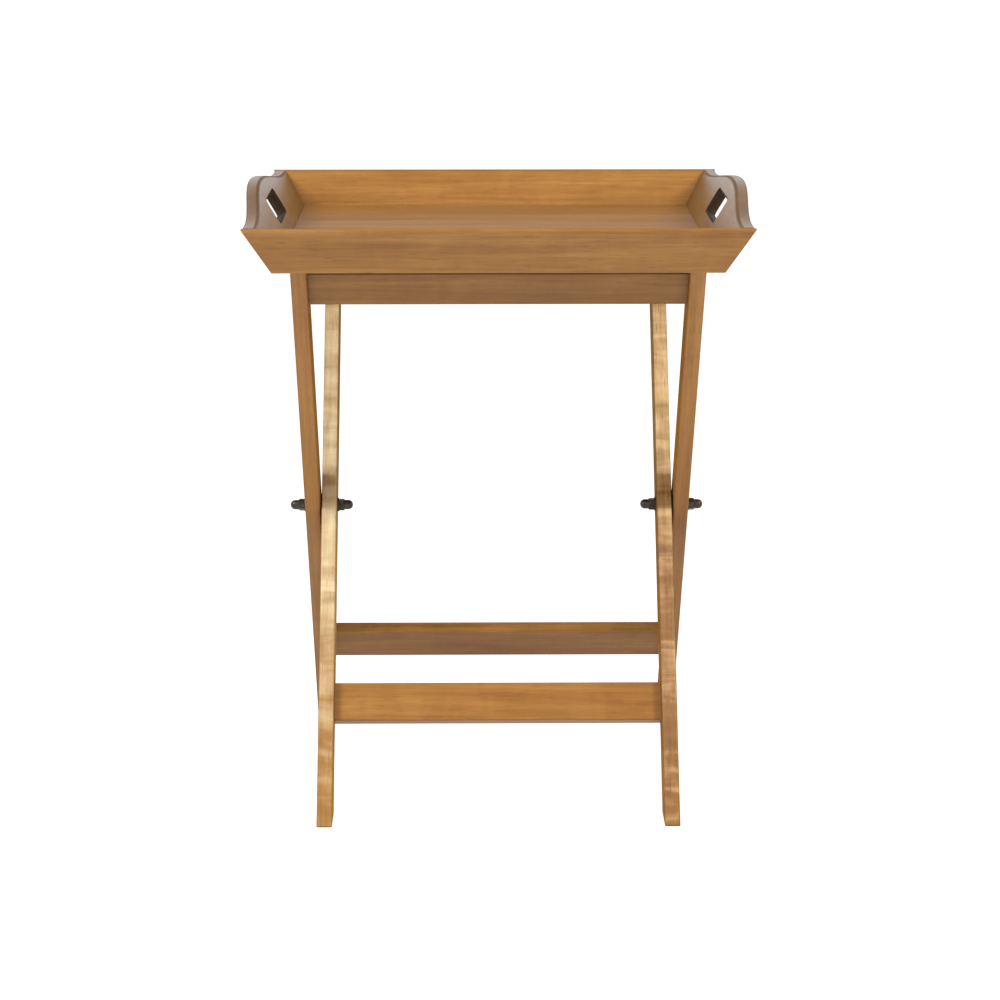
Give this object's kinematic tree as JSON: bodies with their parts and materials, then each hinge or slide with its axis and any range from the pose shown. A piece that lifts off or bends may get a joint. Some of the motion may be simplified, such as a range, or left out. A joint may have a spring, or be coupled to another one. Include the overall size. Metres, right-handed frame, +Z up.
{
  "type": "folding tray table",
  "caption": "Square wooden tray with flared sides and hand slots, resting on a folding X-shaped stand with bolted pivots.",
  "frame": {"origin": "on the floor, midway between the feet, under the pivots", "axes": "+Z up, +X along the pivots to the right, -Y towards the front, where the outer legs are at the top"},
  "size_m": [0.6366, 0.6054, 0.784],
  "materials": {
    "tray_boards": "satin",
    "tray_ends": "satin",
    "tray_panel": "satin",
    "outer_legs": "satin",
    "inner_legs": "satin",
    "rails": "satin",
    "dowels": "matte",
    "bronze": "satin",
    "webbing": "matte",
    "screws": "satin"
  },
  "bodies": {
    "outer_frame": {"outer_left_leg": "outer_legs", "outer_right_leg": "outer_legs", "outer_top_rail": "rails", "outer_stretcher": "rails", "outer_rail_dowels": "dowels", "left_pivot_stud": "bronze", "right_pivot_stud": "bronze", "left_outer_nut": "bronze", "left_inner_nut": "bronze", "right_outer_nut": "bronze", "right_inner_nut": "bronze", "left_washers": "bronze", "right_washers": "bronze", "left_spacer": "bronze", "right_spacer": "bronze", "left_strap": "webbing", "right_strap": "webbing", "outer_strap_screws": "screws"},
    "inner_frame": {"inner_left_leg": "inner_legs", "inner_right_leg": "inner_legs", "inner_top_rail": "rails", "inner_stretcher": "rails", "inner_rail_dowels": "dowels", "inner_strap_screws": "screws"},
    "tray": {"tray_front_board": "tray_boards", "tray_back_board": "tray_boards", "tray_left_end": "tray_ends", "tray_right_end": "tray_ends", "tray_panel": "tray_panel", "tray_corner_dowels": "dowels"}
  },
  "joints": [
    {"name": "frame_fold", "type": "hinge", "parent": "outer_frame", "child": "inner_frame", "pos_m": [0, 0, 0.356], "axis": [1, 0, 0], "range_deg": [0, 58], "deforming": ["left_strap", "right_strap"]},
    {"name": "tray_lift", "type": "slide", "parent": "outer_frame", "child": "tray", "axis": [0, 0, 1], "range_m": [0, 0.4]}
  ],
  "couplings": [
    {"joint": "tray_lift", "follows": "frame_fold", "m_per_rad": 0.36}
  ]
}
